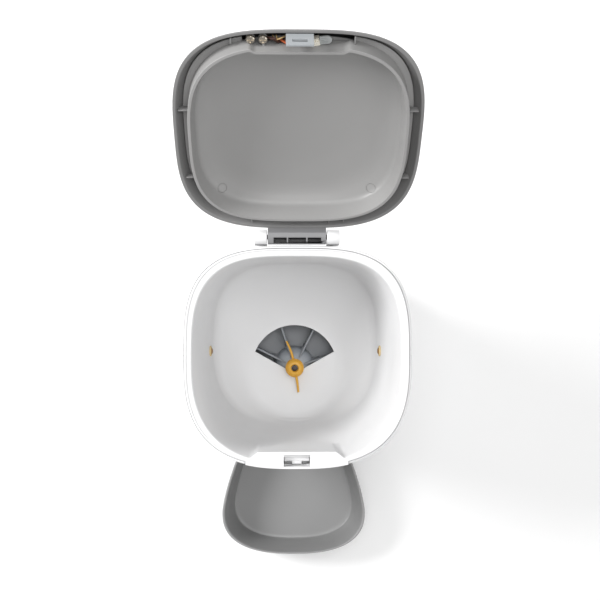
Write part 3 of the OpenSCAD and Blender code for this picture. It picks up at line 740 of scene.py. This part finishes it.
def build_lid_wiring():
    """Wires, connector and light tab in the cavity at the lid's front."""
    y, z = -HALF_D, RIM_Z
    dark = [[(-24 + k, y + 10 + 1.8 * k, z + 8), (-21.5 + 1.6 * k, y + 9.4, z + 3),
             (-18 + k, y + 11 + k, z + 4), (-12 + k, y + 13, z + 9)] for k in range(3)]
    wire_piece("lid_wires_dark_skin", dark, 0.75, "wire_dark", WIRE_DARK, "lid_wires_dark")
    tan = [[(-17, y + 10, z + 8), (-15.6, y + 10.6, z + 4), (-13, y + 9.6, z + 4),
            (-9.5, y + 10, z + 8)],
           [(-19.6, y + 10, z + 8), (-17.4, y + 10.4, z + 3.6), (-15, y + 12.6, z + 9)]]
    wire_piece("lid_wire_tan_skin", tan, 0.55, "wire_tan", WIRE_TAN, "lid_wire_tan")
    orange = [[(-15, y + 12.2, z + 7), (-9.5, y + 14.2, z + 4.5), (-4, y + 15.2, z + 4.4),
               (1.2, y + 14.6, z + 6), (6, y + 13.4, z + 10)],
              [(-13, y + 13.4, z + 9), (-8, y + 15.8, z + 6), (-1.5, y + 16.4, z + 6.4)]]
    wire_piece("lid_wire_orange_skin", orange, 0.8, "wire_orange", WIRE_ORANGE,
               "lid_wire_orange")
    plug = block("wire_connector_skin", (8.2, y + 10.6, z + 2.4), (14.6, y + 15.6, z + 9))
    cut(plug, *[block("tool", (9.2 + 1.9 * k, y + 9, z + 1), (10.2 + 1.9 * k, y + 12.4, z + 3.4))
                for k in range(3)])
    soften(plug, 0.3, 2)
    turn_in_plan(plug, -14, 11.4, y + 13)
    plug.data.transform(ON_LID)
    finish_piece(plug, "lid", "connector_cream", CREAM, "wire_connector")
    nose = [(20.4 + px, y + 11.7 + py) for px, py in sector(3.1, -90, 90, 20)]
    outline = [(14.6, y + 8.6)] + nose + [(14.6, y + 14.8)]
    tab = prism("light_tab_skin", outline, z + 3.4, z + 5.2)
    cut(tab, *[block("tool", (15.6, y + 9.8 + 1.5 * k, z + 2), (20.6, y + 10.3 + 1.5 * k, z + 3.8))
               for k in range(3)])
    soften(tab, 0.25, 2)
    turn_in_plan(tab, -6, 14.6, y + 11.7)
    tab.data.transform(ON_LID)
    finish_piece(tab, "lid", "tab_clear", TAB, "light_tab")


# ---------------------------------------------------------------- portioning drive

def build_rotor():
    """Eight vanes with their webs round a domed hub."""
    low, high = (v[2] for v in node_box("rotor"))
    rise = high - low
    cone = [(0, low), (20.5, low), (20.5, low + 2), (19.6, low + rise * 0.45),
            (17.4, low + rise * 0.72), (13.0, low + rise * 0.90), (9.4, high), (0, high)]
    hub = lathe("rotor_hub_skin", cone, (0, ROTOR_Y, 0), 96)
    vanes = []
    for k in range(8):
        vane = block("vane", (8, -0.95, low), (ROTOR_R - 0.3, 0.95, high - 0.3))
        soften(vane, 0.6, 3)
        apply_modifiers(vane)
        web = prism("web", [(8, low), (26, low), (20.6, low + rise * 0.4)], -2.2, 2.2, "y")
        soften(web, 0.8, 3)
        apply_modifiers(web)
        for part in (vane, web):
            set_on_rotor(part, 63 + 45 * k)
            vanes.append(part)
    finish_piece(join("rotor_skin", vanes), "portioner", "drive_grey", ROTOR_GREY, "rotor")
    finish_piece(hub, "portioner", "drive_grey", HUB_BLUE)


def flexible_arm(name, angle, reach, bow):
    """A thin tapered arm that bends sideways towards its tip."""
    steps, rings = 24, []
    z = FLOOR_Z + 4.6
    for k in range(steps + 1):
        t = k / steps
        r = 7.5 + (reach - 7.5) * t
        side = bow * t * t
        half = 1.35 - 0.35 * t
        tall = 1.9 - 0.5 * t
        ring = [(r, side + half * math.cos(a), z + 1.2 * t + tall * math.sin(a))
                for a in angles(16)]
        rings.append(np.array(ring))
    arm = loft(name, rings)
    set_on_rotor(arm, angle)
    return arm


def build_stirrer():
    """Toothed hub with two flexible arms, and the screw in its middle."""
    z = FLOOR_Z + 0.9
    profile = [(3.05, z), (8.2, z), (9.0, z + 0.8), (9.0, z + 6.6), (8.6, z + 7.6),
               (7.6, z + 8.2), (7.3, z + 9.0), (6.9, z + 9.6), (5.4, z + 10.1),
               (4.2, z + 10.2), (3.5, z + 9.8), (3.4, z + 6.4), (3.05, z + 6.2), (3.05, z)]
    hub = lathe("hub", profile, (0, ROTOR_Y, 0), 96)
    teeth = []
    for k in range(24):
        tooth = block("tooth", (6.2, -0.42, z + 7.6), (8.4, 0.42, z + 9.2))
        soften(tooth, 0.2, 2)
        apply_modifiers(tooth)
        set_on_rotor(tooth, 15 * k)
        teeth.append(tooth)
    arms = [flexible_arm("arm", 100, 27.5, 3.6), flexible_arm("arm", -79, 24.2, -1.0)]
    piece = join("stirrer_skin", [hub] + teeth + arms)
    finish_piece(piece, "portioner", "amber", AMBER, "stirrer")
    z_cap = FLOOR_Z + 7
    cap = lathe("stirrer_screw_skin", [(0, z_cap + 1.2), (1.1, z_cap + 1.2), (1.3, z_cap + 2.4),
                                       (2.5, z_cap + 2.2), (2.9, z_cap + 1.6), (2.9, z_cap),
                                       (0, z_cap)], (0, ROTOR_Y, 0), 40)
    finish_piece(cap, "portioner", "screw_steel", DARK_STEEL, "stirrer_screw")


def build_sensor_windows():
    """Domed lens and brass rim in each side wall of the hopper."""
    parts, rings = [], []
    for side in (-1, 1):
        dome = [(0, 77.7), (1.8, 77.9), (3.2, 78.7), (3.9, 79.8), (4.1, 81.4), (3.9, 86.2),
                (0, 86.2)]
        lens = lathe("lens", [(r, h * side) for r, h in dome], (0, 0, LENS_Z), 40, "x")
        rim = [(4.0, 80.0), (4.4, 79.0), (5.0, 79.4), (5.2, 82.5), (4.0, 82.5), (4.0, 80.0)]
        ring = lathe("rim", [(r, h * side) for r, h in rim], (0, 0, LENS_Z), 40, "x")
        parts.append(lens)
        rings.append(ring)
    finish_piece(join("sensor_windows_skin", parts), "housing", "sensor_amber", LENS_AMBER,
                 "sensor_windows")
    finish_piece(join("sensor_rims", rings), "housing", "sensor_amber", RIM_BRASS)


# ---------------------------------------------------------------- tray

def tray_half(d):
    """Half width of the tray at a distance d behind the middle of its bulged front."""
    end = np.maximum(0, 1 - (d / TRAY_BACK) ** 8) ** (1 / 3)
    return (TRAY_HALF - 0.0532 * d ** 1.4) * end


def tray_outline():
    """Tray outline: a bulged front and sides that draw in towards the rounded back."""
    mid = TRAY_FRONT - TRAY_BULGE
    turn = np.radians(np.linspace(180, 360, 121))
    r = outline_r(turn, TRAY_HALF, TRAY_BULGE, 2.5)
    front = np.stack([r * np.cos(turn), -mid + r * np.sin(turn)], 1)
    d = TRAY_BACK * np.sin(np.radians(np.linspace(0, 90, 61)))[1:]
    right = np.stack([tray_half(d), -mid + d], 1)
    left = np.stack([-tray_half(d), -mid + d], 1)[::-1][1:]
    return np.concatenate([front, right, left])


def build_tray():
    base = tray_outline()
    rows = [(0.30, 0), (0.855, 0), (0.88, 3), (0.965, TRAY_H - 6), (1.0, TRAY_H - 3.4),
            (1.0, TRAY_H), (0.967, TRAY_H), (0.945, TRAY_H - 5), (0.858, 6), (0.84, 4), (0.3, 4)]
    rows = [[s * TRAY_HALF, 0, 0, z, 2, 2] for s, z in rows]
    reach = [0, 3, 6, 2, 1.2, 1.3, 1.3, 5, 9, 5, 0]
    rings = []
    for row in smooth_rows(rows, reach, 8):
        s = row[0] / TRAY_HALF
        y = TRAY_CENTRE_Y + (base[:, 1] - TRAY_CENTRE_Y) * (1 - (1 - s) * 0.72)
        rings.append(np.stack([base[:, 0] * s, y, np.full(len(base), row[3])], 1))
    tray = loft("tray_skin", rings)
    finish_piece(tray, "bowl", "tray_grey", TRAY_GREY, "tray")


# ---------------------------------------------------------------- latch and buttons

def build_release():
    """Release button with grip lines, its arm, and the catch that holds the tongue."""
    y = -HALF_D
    pad = block("pad", (-15, y - 0.9, BUTTON_Z - 7), (15, y + 3, BUTTON_Z + 7))
    soften(pad, 0.9, 4)
    arm = block("arm", (-10.6, y + 2.9, BUTTON_Z - 4), (10.6, y + 9.6, BUTTON_Z + 4))
    cut(arm, prism("tool", disc(2.7, 0, BUTTON_Z), y + 5.4, y + 10, "y"))
    riser = block("riser", (-10.6, y + 5.9, BUTTON_Z + 3.9), (10.6, y + 9.6, RIM_Z - 7))
    soften(riser, 0.35, 3)
    tip = prism("tip", [(y + 6, RIM_Z - 10), (y + 3.4, RIM_Z - 8.8), (y + 3.4, RIM_Z - 7.4),
                        (y + 6, RIM_Z - 7.1)], -4.1, 4.1, "x")
    soften(tip, 0.3, 2)
    grips = [block("grip", (-8, y - 0.99, BUTTON_Z + z), (8, y - 0.4, BUTTON_Z + z + 0.9))
             for z in (-3, 0, 3)]
    for grip in grips:
        soften(grip, 0.25, 2)
    piece = join("release_button_skin", [pad, arm, riser, tip] + grips)
    finish_piece(piece, "release", "white_shell", WHITE, "release_button")


def build_feed_button():
    y = -HALF_D
    profile = [(0, y + 0.5), (3.5, y + 0.3), (5.8, y - 0.1), (6.8, y - 0.35), (7.3, y + 0.2),
               (7.4, y + 1.2), (7.4, y + 4.6), (8.6, y + 4.6), (8.6, y + 5.4), (1.8, y + 5.4),
               (1.8, y + 5.8), (0, y + 5.8)]
    piece = lathe("feed_button_skin", profile, (0, 0, FEED_Z), 64, "y")
    finish_piece(piece, "feed_key", "button_grey", BUTTON, "feed_button")


# ---------------------------------------------------------------- carried-over CAD nodes

def dress(node, material, width=0.3):
    """A CAD node keeps its shape and gets small rounds and its material."""
    obj = frame["nodes"][node]
    obj.data.materials.clear()
    obj.data.materials.append(material)
    weld = obj.modifiers.new("weld", "WELD")
    weld.merge_threshold = 1e-5
    if width:
        soften(obj, width, 2, 40)


CAD_LOOKS = {
    "hinge_ears": (WHITE, 0.5), "hinge_pin": (PIN_PAINTED_SHADE, 0.3), "base_plate": (WHITE, 0.3),
    "foot_ring": (RUBBER, 0.4), "battery_box": (HOPPER_WHITE, 0.3),
    "battery_contacts": (CHROME, 0), "battery_door": (WHITE, 0.25),
    "rotor_chamber": (DRIVE_GREY, 0.3), "chute": (DRIVE_GREY, 0.3),
    "gearbox": (IVORY, 0.3), "motor": (STEEL, 0.5), "drive_shaft": (STEEL, 0.3),
    "control_board": (BOARD, 0.1), "feed_switch": (BLACK, 0.15),
    "status_light": (CLEAR, 0.2), "sensor_boards": (BOARD, 0.1),
    "power_jack": (BLACK, 0.2), "power_board": (BOARD, 0.1), "release_spring": (CHROME, 0),
    "base_screws": (CHROME, 0.12), "chamber_screws": (CHROME, 0.12),
    "motor_screws": (CHROME, 0.12), "board_screws": (CHROME, 0.12),
}


def dress_cad_nodes():
    for node, (material, width) in CAD_LOOKS.items():
        dress(node, material, width)


# ---------------------------------------------------------------- floor, camera, light

def build_stage():
    floor = block("floor", (-6000, -6000, -4), (6000, 6000, -0.2))
    mat = plastic("floor_paper", (0.99, 0.99, 0.99), 0.8, 400, 0.02, 0.004)
    floor.data.materials.append(mat)


def area_light(name, place, target, size, power, colour=(1, 1, 1)):
    data = bpy.data.lights.new(name, "AREA")
    data.shape = "DISK"
    data.size = size
    data.energy = power
    data.color = colour
    lamp = add_object(name, data)
    lamp.location = place
    aim = Vector(target) - Vector(place)
    lamp.rotation_euler = aim.to_track_quat("-Z", "Y").to_euler()


def build_camera():
    data = bpy.data.cameras.new("camera")
    data.sensor_width = 36
    data.lens = CAMERA_LENS
    data.clip_end = 50
    camera = add_object("camera", data)
    camera.location = CAMERA_PLACE
    camera.rotation_euler = (0, CAMERA_TILT, 0)
    bpy.context.scene.camera = camera


def build_light():
    world = bpy.data.worlds.new("studio")
    world.use_nodes = True
    back = world.node_tree.nodes["Background"]
    back.inputs["Color"].default_value = (1, 1, 1, 1)
    back.inputs["Strength"].default_value = 0.44
    bpy.context.scene.world = world
    area_light("key", (-1.2, 0.5, 1.1), (0, 0.03, 0.15), 0.7, 25)
    area_light("top", (0.15, 0.2, 2.1), (0, 0.05, 0.1), 1.4, 17)
    area_light("fill", (1.3, -0.8, 1.3), (0, 0, 0.15), 1.2, 6)
    scene = bpy.context.scene
    scene.view_settings.view_transform = "Standard"
    scene.view_settings.look = "None"


build_camera()
build_light()
build_stage()
build_shells()
build_hopper()
build_lid_cover()
build_lid_liner()
build_lid_ribs()
build_hinge()
build_tongue()
build_lid_screws()
build_lid_wiring()
build_rotor()
build_stirrer()
build_sensor_windows()
build_tray()
build_release()
build_feed_button()
dress_cad_nodes()
